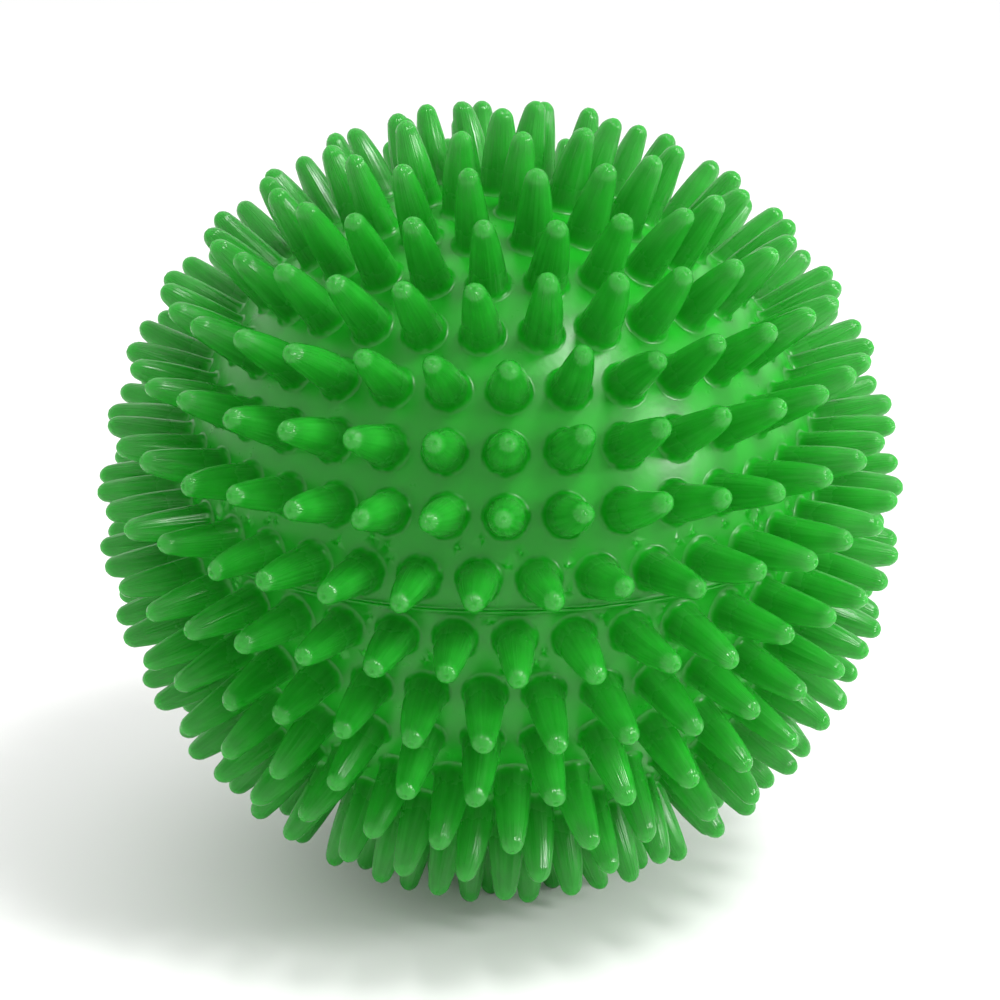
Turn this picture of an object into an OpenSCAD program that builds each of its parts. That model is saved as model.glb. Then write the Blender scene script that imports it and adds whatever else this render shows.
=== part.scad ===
// Spiky dryer ball: a hollow ball of soft PVC, moulded in two halves that
// are welded together on a tongue and groove at the equator. Every spike is
// moulded in one with its half. A valve at the lower pole lets the air in and
// out: a bush snaps into the skin, and a plug pulls out of the bush.
// The ball stands on the ring of spike tips round the valve. The origin is
// on the surface that it stands on, under the middle of the ball, and +Z is
// the moulding axis, up through the poles.

/* [Ball] */
// Diameter over the spike tips
ball_d = 75; // [70:1:85]
// Thickness of the skin between the spikes
wall = 2; // [1.8:0.1:2.4]

/* [Spikes] */
// Height of a spike above the skin
spike_len = 7.5; // [6.5:0.5:8]
// Diameter of a spike where it meets the skin
spike_root_d = 3.8; // [3.4:0.1:4]
// Diameter of a spike where its round tip starts
spike_tip_d = 2; // [1.6:0.1:2.4]
// Diameter of the blunt end of the round tip
spike_end_d = 1; // [0.8:0.1:1.2]
// Rows of spikes between the seam and a pole
rows_per_half = 9; // [8:1:9]
// Spikes in the row next to the seam
equator_spikes = 38; // [32:2:38]

/* [Seam] */
// Depth of the thickened weld land inside the rim of each half
land_w = 3.2; // [2.8:0.1:4]
// Height of the weld land from the seam
land_h = 1.6; // [1.4:0.1:2]
// Thickness of the tongue that locates the halves
tongue_w = 0.8; // [0.6:0.1:1]
// Height that the tongue stands into each half
tongue_h = 0.8; // [0.6:0.1:1]
// Height that the moulding line stands above the skin
seam_bead = 0.15; // [0.1:0.05:0.2]

/* [Valve] */
// Diameter of the valve bush's flange
flange_d = 9.6; // [9:0.1:10]
// Thickness of the flange
flange_t = 1.6; // [1.5:0.1:1.8]
// Outer diameter of the bush's barrel
barrel_d = 5.2; // [4.8:0.1:5.6]
// Length of the barrel below the flange, snap lip included
barrel_len = 4.6; // [4.6:0.1:5.5]
// Bore of the bush
bore_d = 3; // [2.6:0.1:3.2]
// Diameter of the plug's head
plug_head_d = 6; // [5.6:0.1:6.2]
// Thickness of the plug's head
plug_head_t = 0.95; // [0.8:0.05:1]
// Length of the plug's shank
plug_len = 5.8; // [5.6:0.1:6.5]
// Running clearance between the plug and the bush, on the radius
plug_clear = 0.05; // [0.04:0.01:0.08]

/* [Hidden] */

tip_r = ball_d / 2;                 // ball centre to spike tip
core_r = tip_r - spike_len;         // ball centre to skin
inner_r = core_r - wall;            // ball centre to the air space
row_pitch = 90 / rows_per_half;     // degrees between rows
glue_gap = 0.05;                    // film of cement round a bonded piece

// How far each row is turned from the front, in pitches of that row, from
// the seam to the pole. The rows are cut one by one in the mould, so
// neighbours do not line up.
upper_turn = [0.65, 0.1, 0.1, 0.15, 0.7, 0.8, 0.55, 0.3, 0];
lower_turn = [0.25, 0.75, 0.7, 0.2, 0.6, 0.1, 0.5, 0.85, 0];

// Latitude of row i above its own side of the seam, and its spike count
function row_lat(i) = (i + 0.5) * row_pitch;
function row_count(i) =
    i == 0 ? equator_spikes : round(equator_spikes * cos(row_lat(i)));

// Outline of one spike: radius, and distance from the ball's centre
root_r = spike_root_d / 2;
dome_r = spike_tip_d / 2;
root_in = core_r - 0.5 * wall;
shoulder = tip_r - 0.8 * dome_r;
taper = (root_r - dome_r) / (shoulder - core_r);
spike_profile = [
    [0, root_in],
    [root_r + taper * (core_r - root_in), root_in],
    [dome_r, shoulder],
    [spike_end_d / 2, tip_r],
    [0, tip_r]
];

// The ball stands on the last row before the valve. Its lowest point is the
// lowest point of that row's spike outlines.
rest_lat = row_lat(rows_per_half - 2);
centre_h = max([for (p = spike_profile)
    p[1] * sin(rest_lat) + p[0] * cos(rest_lat)]);

// Levels of the valve, measured from the ball's centre, downwards
flange_out = sqrt(core_r * core_r - flange_d * flange_d / 4);
flange_in = flange_out - flange_t;
boss_r = flange_d / 2 + 1.6;
boss_in = flange_in - 2.6;
lip_r = barrel_d / 2 + 0.55;
lip_out = boss_in - glue_gap;
barrel_in = flange_in - barrel_len;
head_in = flange_out - plug_head_t;
shank_in = head_in - plug_len;

module spike() {
    rotate_extrude($fn = 20) polygon(spike_profile);
}

// The rows of spikes of one half, before it is turned over for the lower one
module spike_rows(turn, last_row) {
    for (i = [0 : last_row], k = [0 : row_count(i) - 1])
        rotate([0, 0, -90 + (k + turn[i]) * 360 / row_count(i)])
            rotate([0, 90 - row_lat(i), 0])
                spike();
}

// Skin, weld land and half of the moulding line of one half, seam at z = 0.
// Drawn as one outline turned about the moulding axis.
module half_skin() {
    rotate_extrude($fn = 144)
        union() {
            intersection() {
                difference() {
                    circle(r = core_r, $fn = 144);
                    circle(r = inner_r, $fn = 144);
                }
                square([core_r + 1, core_r + 1]);
            }
            intersection() {
                circle(r = core_r - 0.3, $fn = 144);
                translate([core_r - land_w, 0]) square([land_w, land_h]);
            }
            polygon([[core_r - 1, 0], [core_r + seam_bead, 0],
                     [core_r - 0.1, 0.45], [core_r - 1, 0.45]]);
        }
}

// A square ring round the moulding axis
module ring(r_in, r_out, z0, z1) {
    rotate_extrude($fn = 96)
        translate([r_in, z0]) square([r_out - r_in, z1 - z0]);
}

tongue_mid = core_r - land_w / 2;

module upper_shell() {
    color([0.17, 0.55, 0.18])
    translate([0, 0, centre_h])
        difference() {
            union() {
                half_skin();
                spike_rows(upper_turn, rows_per_half - 1);
            }
            ring(tongue_mid - tongue_w / 2 - glue_gap,
                 tongue_mid + tongue_w / 2 + glue_gap,
                 -1, tongue_h + glue_gap);
        }
}

module lower_shell() {
    color([0.15, 0.52, 0.17])
    translate([0, 0, centre_h])
        mirror([0, 0, 1])
            difference() {
                union() {
                    half_skin();
                    spike_rows(lower_turn, rows_per_half - 2);
                    ring(tongue_mid - tongue_w / 2, tongue_mid + tongue_w / 2,
                         -tongue_h, land_h / 2);
                    // boss that thickens the skin round the valve
                    translate([0, 0, boss_in])
                        cylinder(r = boss_r, h = inner_r + 0.6 - boss_in
                                 - (core_r - flange_out), $fn = 64);
                }
                // hole for the barrel and seat for the flange
                cylinder(r = barrel_d / 2 + glue_gap, h = core_r + 2, $fn = 48);
                translate([0, 0, flange_in - glue_gap])
                    cylinder(r = flange_d / 2 + glue_gap, h = 4, $fn = 64);
            }
}

// Firmer bush: flange, barrel, snap lip behind the boss, bore, and a seat
// with a fingernail notch for the plug's head
module valve_bush() {
    color([0.10, 0.42, 0.14])
    translate([0, 0, centre_h])
        mirror([0, 0, 1])
            difference() {
                union() {
                    rotate_extrude($fn = 64) polygon([
                        [0, barrel_in],
                        [barrel_d / 2, barrel_in],
                        [lip_r, barrel_in + 0.7],
                        [lip_r, lip_out],
                        [barrel_d / 2, lip_out],
                        [barrel_d / 2, flange_in],
                        [flange_d / 2, flange_in],
                        [flange_d / 2, flange_out - 0.25],
                        [flange_d / 2 - 0.25, flange_out],
                        [0, flange_out]
                    ]);
                }
                cylinder(r = bore_d / 2, h = core_r + 2, $fn = 48);
                translate([0, 0, head_in - plug_clear])
                    cylinder(r = plug_head_d / 2 + plug_clear, h = 4, $fn = 64);
                translate([0, -plug_head_d / 2 - 0.1, head_in + 0.1])
                    cylinder(r = 0.8, h = 4, $fn = 32);
            }
}

// Plug: a straight shank with a tapered nose under a thin round head
module valve_plug() {
    color([0.12, 0.46, 0.16])
    translate([0, 0, centre_h])
        mirror([0, 0, 1])
            rotate_extrude($fn = 64) polygon([
                [0, shank_in],
                [bore_d / 2 - plug_clear - 0.5, shank_in],
                [bore_d / 2 - plug_clear, shank_in + 0.8],
                [bore_d / 2 - plug_clear, head_in],
                [plug_head_d / 2, head_in],
                [plug_head_d / 2, flange_out - 0.2],
                [plug_head_d / 2 - 0.2, flange_out],
                [0, flange_out]
            ]);
}

upper_shell();
lower_shell();
valve_bush();
valve_plug();
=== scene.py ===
"""Looks of the spiky dryer ball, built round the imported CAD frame. Metres, the CAD's own frame."""

import math

import bmesh
import bpy
import numpy as np
from mathutils import Matrix, Vector
from mathutils.geometry import delaunay_2d_cdt


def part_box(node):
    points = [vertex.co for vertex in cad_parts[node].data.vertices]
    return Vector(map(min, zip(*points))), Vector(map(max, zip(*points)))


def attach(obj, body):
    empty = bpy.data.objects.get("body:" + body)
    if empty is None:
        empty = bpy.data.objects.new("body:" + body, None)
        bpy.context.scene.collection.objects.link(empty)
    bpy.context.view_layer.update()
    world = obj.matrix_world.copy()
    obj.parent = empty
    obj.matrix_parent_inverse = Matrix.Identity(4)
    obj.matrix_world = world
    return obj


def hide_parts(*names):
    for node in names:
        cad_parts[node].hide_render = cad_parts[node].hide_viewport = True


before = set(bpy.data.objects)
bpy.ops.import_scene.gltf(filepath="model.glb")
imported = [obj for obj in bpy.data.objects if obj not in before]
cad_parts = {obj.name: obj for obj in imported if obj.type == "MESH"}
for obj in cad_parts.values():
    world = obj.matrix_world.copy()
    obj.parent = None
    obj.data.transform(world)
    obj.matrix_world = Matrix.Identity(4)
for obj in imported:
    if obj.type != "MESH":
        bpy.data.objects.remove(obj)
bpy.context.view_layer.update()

MM = 0.001
rng = np.random.RandomState(20417)

# ---------------------------------------------------------------- design sizes, in mm, as part.scad has them
CORE = 30.0                      # ball centre to skin
TIP = 37.5                       # ball centre to spike tip
WALL = 2.0
ROW_PITCH = 10.0
EQUATOR = 38
UPPER_TURN = [0.65, 0.1, 0.1, 0.15, 0.7, 0.8, 0.55, 0.3, 0]
LOWER_TURN = [0.25, 0.75, 0.7, 0.2, 0.6, 0.1, 0.5, 0.85, 0]
CZ = float(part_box("upper_shell")[0].z) / MM     # height of the seam, so of the ball's centre
FLANGE_R = 4.8
FLANGE_T = 1.6
BARREL_R = 2.6
FLANGE_OUT = math.sqrt(CORE ** 2 - FLANGE_R ** 2)
FLANGE_IN = FLANGE_OUT - FLANGE_T
BOSS_R = FLANGE_R + 1.6
BOSS_IN = FLANGE_IN - 2.6
LAND_R = CORE - 3.2
LAND_H = 1.6

SEGS = 18                        # sides of a spike
RIM_N = 228                      # points round the seam
FOOT = 2.18                      # radius of the fillet's outer edge on the skin
RIM_Z = 0.36                     # where the skin ends and the seam's lip starts


def row_lat(i):
    return (i + 0.5) * ROW_PITCH


def row_count(i):
    return EQUATOR if i == 0 else int(math.floor(EQUATOR * math.cos(math.radians(row_lat(i))) + 0.5))


# ---------------------------------------------------------------- one spike's outline: (t, radius)
# t is the share of the way from the skin to the tip. Fillet, long taper with a slight belly, round nose, and the
# small dimple that the mould's vent leaves on the very end.
def spike_outline():
    foot_z = math.sqrt(CORE ** 2 - FOOT ** 2)
    pts = [(foot_z, FOOT)]
    # fillet from the skin to the side
    pts += [(foot_z + 0.05, 2.02), (foot_z + 0.16, 1.89), (foot_z + 0.36, 1.78), (foot_z + 0.70, 1.70)]
    for z, r in ((31.9, 1.60), (33.2, 1.48), (34.5, 1.33), (35.6, 1.16)):
        pts.append((z, r))
    # nose
    zc, a, b = 36.3, 1.01, 1.17
    for deg in (4, 24, 41, 56, 67):
        q = math.radians(deg)
        pts.append((zc + b * math.sin(q), a * math.cos(q)))
    pts += [(TIP - 0.060, 0.29), (TIP - 0.085, 0.21), (TIP - 0.125, 0.12)]
    return pts


OUTLINE = spike_outline()
TIP_CENTRE_Z = TIP - 0.14


class Build:
    """Collects the vertices and faces of one closed half shell, in mm round the ball's centre, pole up."""

    def __init__(self):
        self.v, self.f, self.h, self.s, self.n, self.r = [], [], [], [], [], []

    def add(self, p, h=0.0, streak=(0, 0, 0), normal=(0, 0, 0), rnd=0.5):
        self.v.append(p)
        self.h.append(h)
        self.s.append(streak)
        self.n.append(normal)
        self.r.append(rnd)
        return len(self.v) - 1


def unit(a):
    return a / np.linalg.norm(a)


def half_shell(turn, last_row, with_valve, seed):
    rs = np.random.RandomState(seed)
    b = Build()
    feet = []                     # (indices of the foot ring)
    centres = []
    spikes = []
    for i in range(last_row + 1):
        n = row_count(i)
        for k in range(n):
            lat = math.radians(row_lat(i))
            lon = math.radians(-90 + (k + turn[i]) * 360.0 / n)
            d = np.array([math.cos(lat) * math.cos(lon), math.cos(lat) * math.sin(lon), math.sin(lat)])
            u = unit(np.cross(d, [0.0, 0.0, 1.0]))
            w = np.cross(d, u)
            spikes.append((d, u, w))
            centres.append(d)
    foot_ang = math.asin(FOOT / CORE)
    # foot rings lie exactly on the skin
    for d, u, w in spikes:
        ring = []
        spin = rs.uniform(0, 2 * math.pi / SEGS)
        for s in range(SEGS):
            q = 2 * math.pi * s / SEGS + spin
            p = CORE * (math.cos(foot_ang) * d + math.sin(foot_ang) * (math.cos(q) * u + math.sin(q) * w))
            ring.append(b.add(p, 0.0, normal=unit(p)))
        feet.append((ring, spin))
    # seam ring and valve ring
    rim = []
    rr = math.sqrt(CORE ** 2 - RIM_Z ** 2)
    for s in range(RIM_N):
        q = 2 * math.pi * s / RIM_N
        p = np.array([rr * math.cos(q), rr * math.sin(q), RIM_Z])
        rim.append(b.add(p, 0.0))
    hole = []
    HOLE_R = FLANGE_R + 0.05 + 0.17
    if with_valve:
        hz = math.sqrt(CORE ** 2 - HOLE_R ** 2)
        for s in range(RIM_N):
            q = 2 * math.pi * s / RIM_N
            hole.append(b.add(np.array([HOLE_R * math.cos(q), HOLE_R * math.sin(q), hz]), 0.0))
    # small beads of flash left beside the weld
    beads, bead_c = [], []
    C0 = np.array(centres)
    for _ in range(2600):
        q, hz_ = rs.uniform(0, 2 * math.pi), 0.85 + 5.2 * rs.uniform(0, 1) ** 1.5
        rad = rs.uniform(0.13, 0.25)
        d = unit(np.array([math.cos(q) * math.sqrt(CORE ** 2 - hz_ ** 2), math.sin(q) * math.sqrt(CORE ** 2 - hz_ ** 2), hz_]))
        if len(bead_c) >= 105 or np.max(C0 @ d) > math.cos((FOOT + 0.16 + rad) / CORE):
            continue
        if bead_c and max(float(c @ d) for c in bead_c) > math.cos(0.75 / CORE):
            continue
        bead_c.append(d)
        u = unit(np.cross(d, [0.0, 0.0, 1.0]))
        w = np.cross(d, u)
        ring = []
        for s in range(8):
            a = 2 * math.pi * s / 8
            p = CORE * unit(d + rad / CORE * (math.cos(a) * u + math.sin(a) * w))
            ring.append(b.add(p))
        beads.append((ring, d, u, w, rad))
    # loose points that fill the skin between the feet
    total = 7000
    gold = math.pi * (3 - math.sqrt(5))
    C, B = np.array(centres), np.array(bead_c)
    first_loose = len(b.v)
    for k in range(total):
        z = (k + 0.5) / total
        rad = math.sqrt(1 - z * z)
        p = np.array([rad * math.cos(k * gold), rad * math.sin(k * gold), z])
        if p[2] * CORE < RIM_Z + 0.34:
            continue
        if with_valve and math.hypot(p[0], p[1]) * CORE < HOLE_R + 0.3:
            continue
        if np.max(C @ p) > math.cos((FOOT + 0.2) / CORE) or np.max(B @ p) > math.cos(0.42 / CORE):
            continue
        b.add(p * CORE, 0.0, normal=p)
    # flat map that keeps circles round
    P = np.array(b.v)
    U = P / np.linalg.norm(P, axis=1)[:, None]
    flat = U[:, :2] / (1 + U[:, 2:3]) * 100.0
    # foot, seam, valve and bead rings are kept as fixed edges of the flat triangulation
    edges = []
    for ring, _ in feet:
        edges += [(ring[j], ring[(j + 1) % SEGS]) for j in range(SEGS)]
    for ring in ([rim] + ([hole] if hole else []) + [x[0] for x in beads]):
        edges += [(ring[j], ring[(j + 1) % len(ring)]) for j in range(len(ring))]
    out = delaunay_2d_cdt([Vector((float(x), float(y))) for x, y in flat], edges, [], 0, 1e-7, True)
    ov, oe, of, orig_v = out[0], out[1], out[2], out[3]
    assert len(ov) == len(flat), "the flat map made new points"
    back = [o[0] for o in orig_v]
    owner = np.full(len(b.v), -1)
    for idx, (ring, _) in enumerate(feet):
        owner[ring] = idx
    if hole:
        owner[hole] = 100000
    for idx, x in enumerate(beads):
        owner[x[0]] = 200000 + idx
    for tri in of:
        t = [back[j] for j in tri]
        o = {int(owner[j]) for j in t}
        if len(o) == 1 and -1 not in o:
            continue
        b.f.append(tuple(t))
    for ring, d, u, w, rad in beads:
        prev = ring
        for share, high in ((0.88, 0.36), (0.55, 0.66)):
            cur = []
            for s in range(8):
                a = 2 * math.pi * s / 8
                cur.append(b.add(CORE * d + d * rad * high + rad * share * (math.cos(a) * u + math.sin(a) * w)))
            for s in range(8):
                b.f.append((prev[s], prev[(s + 1) % 8], cur[(s + 1) % 8], cur[s]))
            prev = cur
        c = b.add(CORE * d + d * rad * 0.78)
        for s in range(8):
            b.f.append((prev[s], prev[(s + 1) % 8], c))
    # the spikes
    for idx, (d, u, w) in enumerate(spikes):
        ring, spin = feet[idx]
        length = 1 + float(np.clip(rs.normal(0, 0.006), -0.012, 0.010))
        fat = 1 + float(np.clip(rs.normal(0, 0.02), -0.05, 0.04))
        lean_q = rs.uniform(0, 2 * math.pi)
        lean = float(min(abs(rs.normal(0, 0.40)), 0.9))
        oval, oval_q = rs.uniform(0, 0.04), rs.uniform(0, math.pi)
        rnd = rs.uniform(0, 1)
        off = np.array([rs.uniform(-40, 40), rs.uniform(-40, 40), rs.uniform(-40, 40)])
        lean_v = lean * (math.cos(lean_q) * u + math.sin(lean_q) * w)
        # neighbours that were pressed together in the box lean the same way
        set_v = np.array([math.sin(5.1 * d[1] + 2.0 * d[2] + 0.4), math.sin(4.3 * d[2] - 3.2 * d[0] + 1.7),
                          math.sin(4.9 * d[0] + 2.7 * d[1] + 2.6)])
        lean_v = lean_v + 0.30 * (set_v - d * float(set_v @ d))
        z0 = OUTLINE[0][0]
        prev = ring
        for j, (z, r) in enumerate(OUTLINE):
            t = (z - z0) / (TIP - z0)
            if j == 0:
                for s in range(SEGS):
                    q = 2 * math.pi * s / SEGS + spin
                    b.s[ring[s]] = tuple(off + [math.cos(q), math.sin(q), 0.0])
                    b.r[ring[s]] = rnd
                continue
            zz = z0 + (z - z0) * length
            blend = min(1.0, t / 0.08)
            cur = []
            for s in range(SEGS):
                q = 2 * math.pi * s / SEGS + spin
                rad = r * (1 + (fat - 1) * blend) * (1 + oval * blend * math.cos(2 * (q - oval_q)))
                p = d * zz + rad * (math.cos(q) * u + math.sin(q) * w) + lean_v * t * t
                cur.append(b.add(p, t, tuple(off + [math.cos(q), math.sin(q), t * 1.0]), rnd=rnd))
            for s in range(SEGS):
                s2 = (s + 1) % SEGS
                b.f.append((prev[s], prev[s2], cur[s2], cur[s]))
            prev = cur
        c = b.add(d * (z0 + (TIP_CENTRE_Z - z0) * length) + lean_v, 1.0, tuple(off + [0, 0, 1.0]), rnd=rnd)
        for s in range(SEGS):
            b.f.append((prev[s], prev[(s + 1) % SEGS], c))
    # seam lip, weld land, air space and, below, the seat and boss of the valve
    inner = CORE - WALL
    prof = [(CORE + 0.055, 0.27), (CORE + 0.105, 0.17), (CORE + 0.085, 0.075), (CORE - 0.03, 0.015), (CORE - 0.5, 0.0),
            (LAND_R + 0.3, 0.0), (LAND_R, 0.3), (LAND_R, LAND_H - 0.2), (LAND_R + 0.2, LAND_H),
            (math.sqrt(inner ** 2 - LAND_H ** 2) - 0.2, LAND_H)]
    a0 = math.asin((LAND_H + 0.2) / inner)
    a1 = math.acos(BOSS_R / inner) if with_valve else math.radians(87)
    for j in range(17):
        a = a0 + (a1 - a0) * j / 16
        prof.append((inner * math.cos(a), inner * math.sin(a)))
    if with_valve:
        g = BARREL_R + 0.05
        prof += [(BOSS_R, BOSS_IN + 0.25), (BOSS_R - 0.25, BOSS_IN), (g + 0.12, BOSS_IN), (g, BOSS_IN + 0.12),
                 (g, FLANGE_IN - 0.2), (g + 0.15, FLANGE_IN - 0.05), (FLANGE_R - 0.1, FLANGE_IN - 0.05),
                 (FLANGE_R + 0.05, FLANGE_IN + 0.1), (FLANGE_R + 0.05, FLANGE_OUT - 0.22),
                 (FLANGE_R + 0.10, FLANGE_OUT - 0.08)]
    prev = rim
    for r, z in prof:
        cur = []
        for s in range(RIM_N):
            q = 2 * math.pi * s / RIM_N
            cur.append(b.add(np.array([r * math.cos(q), r * math.sin(q), z])))
        for s in range(RIM_N):
            s2 = (s + 1) % RIM_N
            b.f.append((prev[s], prev[s2], cur[s2], cur[s]))
        prev = cur
    if with_valve:
        for s in range(RIM_N):
            s2 = (s + 1) % RIM_N
            b.f.append((prev[s], prev[s2], hole[s2], hole[s]))
    else:
        c = b.add(np.array([0, 0, inner]))
        for s in range(RIM_N):
            b.f.append((prev[s], prev[(s + 1) % RIM_N], c))
    return b


def soft_form(P):
    """The slight unevenness of a soft moulding: a few tenths of a millimetre over the whole ball."""
    R = np.linalg.norm(P, axis=1)
    U = P / R[:, None]
    waves = [((1.7, 0.6, -0.9), 0.3, 0.0016), ((-0.8, 2.2, 1.1), 1.1, 0.0014), ((2.4, -1.3, 2.0), 2.0, 0.0011),
             ((-3.1, -1.9, 0.7), 0.4, 0.0009)]
    f = np.ones(len(P))
    for k, ph, a in waves:
        f += a * np.sin(U @ np.array(k) * 1.6 + ph)
    seam = np.clip(np.abs(P[:, 2]) / 3.0, 0, 1)
    pole = np.clip((1 + U[:, 2]) / 0.05, 0, 1)
    return P * (1 + (f - 1) * seam * pole)[:, None]


def make_object(name, b, upside_down):
    P = np.array(b.v)
    N = np.array(b.n, float)
    if upside_down:
        P[:, 2] *= -1
        N[:, 2] *= -1
    P = soft_form(P)
    P[:, 2] += CZ
    # tips that stand on the floor are pressed a little flat
    P[:, 2] = np.maximum(P[:, 2], 0.012)
    me = bpy.data.meshes.new(name)
    me.from_pydata((P * MM).tolist(), [], b.f)
    bm = bmesh.new()
    bm.from_mesh(me)
    bmesh.ops.recalc_face_normals(bm, faces=bm.faces)
    bm.to_mesh(me)
    bm.free()
    for key, data in (("h01", b.h), ("rnd", b.r)):
        at = me.attributes.new(key, "FLOAT", "POINT")
        at.data.foreach_set("value", np.array(data, np.float32))
    at = me.attributes.new("streak", "FLOAT_VECTOR", "POINT")
    at.data.foreach_set("vector", np.array(b.s, np.float32).ravel())
    me.polygons.foreach_set("use_smooth", [True] * len(me.polygons))
    me.set_sharp_from_angle(angle=math.radians(50))
    me.normals_split_custom_set_from_vertices(N.tolist())
    me.update()
    ob = bpy.data.objects.new(name, me)
    bpy.context.scene.collection.objects.link(ob)
    return ob


# ---------------------------------------------------------------- node helper
class Tree:
    def __init__(self, mat):
        mat.use_nodes = True
        self.nt = mat.node_tree
        self.nt.nodes.clear()

    def node(self, kind, **kw):
        n = self.nt.nodes.new(kind)
        for k, v in kw.items():
            setattr(n, k, v)
        return n

    def link(self, a, b):
        self.nt.links.new(a, b)

    def attr(self, name, what):
        n = self.node("ShaderNodeAttribute")
        n.attribute_name = name
        return n.outputs[what]

    def noise(self, vec, scale, detail=2.0, rough=0.5, dist=0.0):
        n = self.node("ShaderNodeTexNoise")
        n.inputs["Scale"].default_value = scale
        n.inputs["Detail"].default_value = detail
        n.inputs["Roughness"].default_value = rough
        n.inputs["Distortion"].default_value = dist
        self.link(vec, n.inputs["Vector"])
        return n.outputs["Fac"]

    def remap(self, x, a, b, c, d, smooth=False):
        n = self.node("ShaderNodeMapRange")
        n.clamp = True
        if smooth:
            n.interpolation_type = "SMOOTHSTEP"
        for k, v in zip(("From Min", "From Max", "To Min", "To Max"), (a, b, c, d)):
            n.inputs[k].default_value = v
        self.link(x, n.inputs["Value"])
        return n.outputs["Result"]

    def math(self, op, a, b=None):
        n = self.node("ShaderNodeMath", operation=op)
        for k, v in enumerate((a, b)):
            if v is None:
                continue
            if isinstance(v, (int, float)):
                n.inputs[k].default_value = v
            else:
                self.link(v, n.inputs[k])
        return n.outputs[0]

    def mix(self, fac, a, b, mode="MIX"):
        n = self.node("ShaderNodeMix", data_type="RGBA", blend_type=mode)
        n.clamp_factor = True
        if isinstance(fac, (int, float)):
            n.inputs[0].default_value = fac
        else:
            self.link(fac, n.inputs[0])
        for sock, v in ((n.inputs[6], a), (n.inputs[7], b)):
            if isinstance(v, tuple):
                sock.default_value = (*v, 1.0)
            else:
                self.link(v, sock)
        return n.outputs[2]

    def mapping(self, vec, scale):
        n = self.node("ShaderNodeMapping")
        n.inputs["Scale"].default_value = scale
        self.link(vec, n.inputs["Vector"])
        return n.outputs["Vector"]

    def bump(self, height, strength, distance, normal=None):
        n = self.node("ShaderNodeBump")
        n.inputs["Strength"].default_value = strength
        n.inputs["Distance"].default_value = distance
        self.link(height, n.inputs["Height"])
        if normal is not None:
            self.link(normal, n.inputs["Normal"])
        return n.outputs["Normal"]


def pvc_skin():
    mat = bpy.data.materials.new("soft_green_pvc_skin")
    t = Tree(mat)
    obj = t.node("ShaderNodeTexCoord").outputs["Object"]
    h = t.attr("h01", "Fac")
    rnd = t.attr("rnd", "Fac")
    st = t.attr("streak", "Vector")
    on_spike = t.remap(h, 0.02, 0.14, 0.0, 1.0, True)
    # colour: mottled pigment, each spike a shade of its own; lighter streaks along the spikes are painted highlight,
    # the bare skin between the spikes is painted lighter against its shade, and the thin tips get painted shade
    broad = t.noise(obj, 85.0, 3.0, 0.55)
    fine = t.noise(obj, 620.0, 3.0, 0.6)
    # painted highlight: lighter streaks along the spikes stand in for the bright lines the lights draw on them
    highlight_streak_noise = t.noise(t.mapping(st, (2.2, 2.2, 0.35)), 1.6, 3.0, 0.55)
    f = t.math("ADD", t.math("MULTIPLY", broad, 0.55), t.math("MULTIPLY", fine, 0.25))
    f = t.math("ADD", f, t.math("MULTIPLY", rnd, 0.14))
    body = t.mix(t.remap(f, 0.30, 0.62, 0.0, 1.0), (0.0085, 0.205, 0.0115), (0.0165, 0.280, 0.0200))
    highlight_streaked = t.mix(t.remap(highlight_streak_noise, 0.40, 0.66, 0.0, 0.40), body, (0.026, 0.330, 0.031))
    # painted light: the bare skin between the spikes is mixed 75% towards a lighter, brighter green to offset the
    # shade it lies in
    body = t.mix(on_spike, t.mix(0.75, body, (0.0050, 0.380, 0.0090)), highlight_streaked)
    # painted shade: the spike tips are darkened to hold down the light they catch
    tip_painted_shade = t.remap(h, 0.62, 0.95, 0.0, 0.60, True)
    body = t.mix(tip_painted_shade, body, (0.010, 0.150, 0.013))
    # finish: satin skin, the tips rubbed smoother
    rough = t.remap(fine, 0.3, 0.7, 0.27, 0.35)
    rough = t.math("SUBTRACT", rough, t.remap(h, 0.10, 0.60, 0.0, 0.12, True))
    rough = t.math("SUBTRACT", rough, t.remap(h, 0.78, 0.92, 0.0, 0.06, True))
    p = t.node("ShaderNodeBsdfPrincipled")
    t.link(rough, p.inputs["Roughness"])
    p.inputs["IOR"].default_value = 1.5
    p.inputs["Specular IOR Level"].default_value = 0.36
    p.inputs["Subsurface Weight"].default_value = 1.0
    p.inputs["Subsurface Radius"].default_value = (0.22, 1.0, 0.26)
    p.inputs["Subsurface Scale"].default_value = 0.0055
    peel = t.bump(t.noise(obj, 900.0, 2.0, 0.5), 0.14, 0.00012)
    t.link(body, p.inputs["Base Color"])
    ridges = t.math("MULTIPLY", t.noise(t.mapping(st, (3.4, 3.4, 0.20)), 2.1, 2.0, 0.5), on_spike)
    nrm = t.bump(ridges, 0.45, 0.00024, peel)
    t.link(nrm, p.inputs["Normal"])
    out = t.node("ShaderNodeOutputMaterial")
    t.link(p.outputs["BSDF"], out.inputs["Surface"])
    return mat


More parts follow.
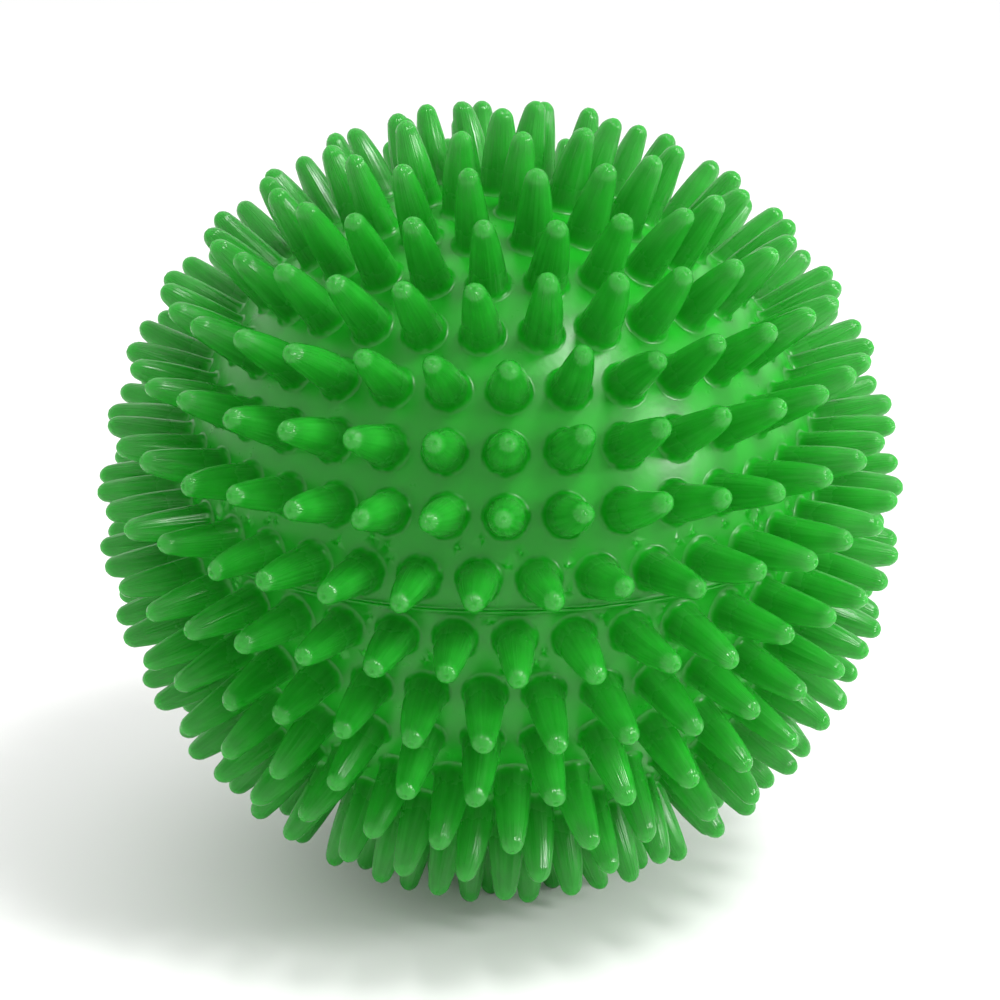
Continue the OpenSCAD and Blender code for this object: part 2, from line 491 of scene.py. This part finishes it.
def firm_pvc(name, dark, light):
    mat = bpy.data.materials.new(name)
    t = Tree(mat)
    obj = t.node("ShaderNodeTexCoord").outputs["Object"]
    f = t.noise(obj, 260.0, 3.0, 0.6)
    fine = t.noise(obj, 2600.0, 2.0, 0.6)
    p = t.node("ShaderNodeBsdfPrincipled")
    t.link(t.mix(t.remap(f, 0.32, 0.68, 0.0, 1.0), dark, light), p.inputs["Base Color"])
    t.link(t.remap(fine, 0.3, 0.7, 0.34, 0.5), p.inputs["Roughness"])
    p.inputs["IOR"].default_value = 1.53
    p.inputs["Specular IOR Level"].default_value = 0.32
    p.inputs["Subsurface Weight"].default_value = 0.4
    p.inputs["Subsurface Radius"].default_value = (0.2, 1.0, 0.25)
    p.inputs["Subsurface Scale"].default_value = 0.001
    t.link(t.bump(fine, 0.25, 0.00005), p.inputs["Normal"])
    out = t.node("ShaderNodeOutputMaterial")
    t.link(p.outputs["BSDF"], out.inputs["Surface"])
    return mat


# ---------------------------------------------------------------- the pieces
skin_mat = pvc_skin()
upper = make_object("upper_skin", half_shell(UPPER_TURN, 8, False, 11), False)
lower = make_object("lower_skin", half_shell(LOWER_TURN, 7, True, 23), True)
for ob, node in ((upper, "upper_shell"), (lower, "lower_shell")):
    ob.data.materials.append(skin_mat)
    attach(ob, "ball")
    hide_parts(node)

def lathe(name, profile, closed, segs, notch=False):
    """A turned piece round the valve's axis, pole down; profile is (radius, distance below the ball's centre)."""
    verts, faces, rings = [], [], []
    for r, z in profile:
        if r == 0:
            rings.append([len(verts)])
            verts.append([0.0, 0.0, z])
            continue
        ring = []
        for k in range(segs):
            q = 2 * math.pi * k / segs
            x, y, zz = r * math.cos(q), r * math.sin(q), z
            if notch and z > 28.70 and r > 3.0:
                d = math.hypot(x, y + 3.1) / 0.85
                if d < 1:
                    zz = 28.70 + (z - 28.70) * (1 - 0.80 * (1 - d * d) ** 0.5)
            ring.append(len(verts))
            verts.append([x, y, zz])
        rings.append(ring)
    pairs = list(zip(rings, rings[1:])) + ([(rings[-1], rings[0])] if closed else [])
    for p, c in pairs:
        for k in range(segs):
            k2 = (k + 1) % segs
            if len(p) == 1:
                faces.append((p[0], c[k2], c[k]))
            elif len(c) == 1:
                faces.append((p[k], p[k2], c[0]))
            else:
                faces.append((p[k], p[k2], c[k2], c[k]))
    V = np.array(verts)
    V[:, 2] = CZ - V[:, 2]
    me = bpy.data.meshes.new(name)
    me.from_pydata((V * MM).tolist(), [], faces)
    bm = bmesh.new()
    bm.from_mesh(me)
    bmesh.ops.recalc_face_normals(bm, faces=bm.faces)
    bm.to_mesh(me)
    bm.free()
    me.polygons.foreach_set("use_smooth", [True] * len(me.polygons))
    me.set_sharp_from_angle(angle=math.radians(50))
    me.update()
    ob = bpy.data.objects.new(name, me)
    bpy.context.scene.collection.objects.link(ob)
    return ob


HEAD_IN = FLANGE_OUT - 0.95
BARREL_IN = FLANGE_IN - 4.6
SHANK_IN = HEAD_IN - 5.8
o = FLANGE_OUT
bush = lathe("valve_bush_moulded", [
    (1.50, BARREL_IN + 0.12), (1.60, BARREL_IN), (2.50, BARREL_IN), (2.62, BARREL_IN + 0.06), (3.10, BARREL_IN + 0.62),
    (3.15, BARREL_IN + 0.74), (3.15, BOSS_IN - 0.13), (3.08, BOSS_IN - 0.05), (2.60, BOSS_IN - 0.05),
    (2.60, FLANGE_IN - 0.10), (2.70, FLANGE_IN), (4.68, FLANGE_IN), (4.80, FLANGE_IN + 0.12), (4.80, o - 0.25),
    (4.765, o - 0.13), (4.68, o - 0.05), (4.55, o - 0.01), (4.30, o), (4.12, o), (3.98, o), (3.84, o), (3.70, o),
    (3.56, o), (3.44, o), (3.33, o - 0.002), (3.22, o - 0.02), (3.12, o - 0.06), (3.07, o - 0.13), (3.05, o - 0.23),
    (3.05, o - 0.45), (3.05, HEAD_IN + 0.06), (3.02, HEAD_IN - 0.03), (2.92, HEAD_IN - 0.05), (1.62, HEAD_IN - 0.05),
    (1.53, HEAD_IN - 0.08), (1.50, HEAD_IN - 0.17)], True, 96, notch=True)
plug = lathe("valve_plug_moulded", [
    (0, SHANK_IN), (0.80, SHANK_IN), (0.93, SHANK_IN + 0.05), (1.00, SHANK_IN + 0.14), (1.42, SHANK_IN + 0.76),
    (1.45, SHANK_IN + 0.88), (1.45, HEAD_IN - 0.12), (1.50, HEAD_IN - 0.03), (1.60, HEAD_IN), (2.90, HEAD_IN),
    (2.98, HEAD_IN + 0.03), (3.00, HEAD_IN + 0.10), (3.00, o - 0.26), (2.97, o - 0.15), (2.89, o - 0.06),
    (2.76, o - 0.012), (2.55, o), (2.30, o - 0.012), (1.30, o - 0.045), (0.48, o - 0.05), (0.40, o - 0.065),
    (0.34, o - 0.11), (0, o - 0.12)], False, 72)
for ob, node, body_name, slot, mat in (
        (bush, "valve_bush", "ball", "valve_bush_pvc",
         firm_pvc("valve_bush_firm_pvc", (0.0060, 0.150, 0.0090), (0.0120, 0.215, 0.0160))),
        (plug, "valve_plug", "plug", "valve_plug_pvc",
         firm_pvc("valve_plug_firm_pvc", (0.0090, 0.190, 0.0125), (0.0170, 0.265, 0.0210)))):
    ob.data.materials.append(mat)
    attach(ob, body_name)
    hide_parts(node)

# ---------------------------------------------------------------- floor, light, camera
def floor():
    bm = bmesh.new()
    bmesh.ops.create_grid(bm, x_segments=8, y_segments=8, size=3.0)
    me = bpy.data.meshes.new("floor")
    bm.to_mesh(me)
    bm.free()
    ob = bpy.data.objects.new("floor", me)
    bpy.context.scene.collection.objects.link(ob)
    mat = bpy.data.materials.new("pale_floor")
    t = Tree(mat)
    obj = t.node("ShaderNodeTexCoord").outputs["Object"]
    p = t.node("ShaderNodeBsdfPrincipled")
    t.link(t.mix(t.noise(obj, 3.0, 2.0), (0.86, 0.86, 0.85), (0.88, 0.88, 0.875)), p.inputs["Base Color"])
    p.inputs["Roughness"].default_value = 0.75
    p.inputs["Specular IOR Level"].default_value = 0.25
    out = t.node("ShaderNodeOutputMaterial")
    t.link(p.outputs["BSDF"], out.inputs["Surface"])
    me.materials.append(mat)
    return ob


floor()
scene = bpy.context.scene
scene.view_settings.view_transform = "Standard"
scene.view_settings.look = "None"
KEY = 2.1

centre = Vector((0, 0, CZ * MM))
ELEV = math.radians(17.7)
DIST = 6.0 * TIP * MM
right = Vector((1, 0, 0))
up = Vector((0, math.sin(ELEV), math.cos(ELEV)))
back = Vector((0, -math.cos(ELEV), math.sin(ELEV)))


def seen(x, y, z):
    """A direction given as the camera sees it: right, up, towards the camera."""
    return (right * x + up * y + back * z).normalized()


cam_data = bpy.data.cameras.new("camera")
cam = bpy.data.objects.new("camera", cam_data)
scene.collection.objects.link(cam)
cam_data.sensor_width = 36.0
cam_data.lens = 86.0
cam_data.clip_start = 0.01
cam_data.clip_end = 50.0
m = Matrix((right, up, back)).transposed().to_4x4()
m.translation = centre + back * DIST
cam.matrix_world = m
scene.camera = cam


def softbox(name, direction, dist, size_x, size_y, power, along):
    """An area light that faces the ball, its long side turned towards `along`."""
    ld = bpy.data.lights.new(name, "AREA")
    ld.shape = "RECTANGLE"
    ld.size, ld.size_y = size_x, size_y
    ld.energy = power
    ob = bpy.data.objects.new(name, ld)
    scene.collection.objects.link(ob)
    z = direction.normalized()
    x = (along - z * along.dot(z)).normalized()
    y = z.cross(x)
    mm = Matrix((x, y, z)).transposed().to_4x4()
    mm.translation = centre + z * dist
    ob.matrix_world = mm
    return ob


def glint_light(name, dx, dy, dist, size, power):
    """A soft square light whose mirror image on the bare skin is seen dx, dy tenths of the ball's radius from its middle."""
    eye = centre + back * DIST
    k = 0.1 * math.tan(math.asin(1 / 6.0))
    ray = (right * (dx * k) + up * (dy * k) - back).normalized()
    oc = eye - centre
    bq = oc.dot(ray)
    hit = eye + ray * (-bq - math.sqrt(bq * bq - (oc.dot(oc) - (CORE * MM) ** 2)))
    n = (hit - centre).normalized()
    v = (eye - hit).normalized()
    l = n * (2 * n.dot(v)) - v
    ob = softbox(name, (hit + l * dist) - centre, 1.0, size, size, power, right)
    ob.location = hit + l * dist
    return ob


glint_light("key_upper", 1.95, 3.65, 0.60, 0.12, KEY)
glint_light("key_right", 4.15, 1.45, 0.60, 0.12, KEY)
softbox("top", seen(0.1, 0.95, 0.1), 0.8, 0.6, 0.4, 0.5, right)

world = bpy.data.worlds.new("world")
scene.world = world
world.use_nodes = True
bg = world.node_tree.nodes["Background"]
bg.inputs["Color"].default_value = (1.0, 1.0, 1.0, 1.0)
bg.inputs["Strength"].default_value = 1.06
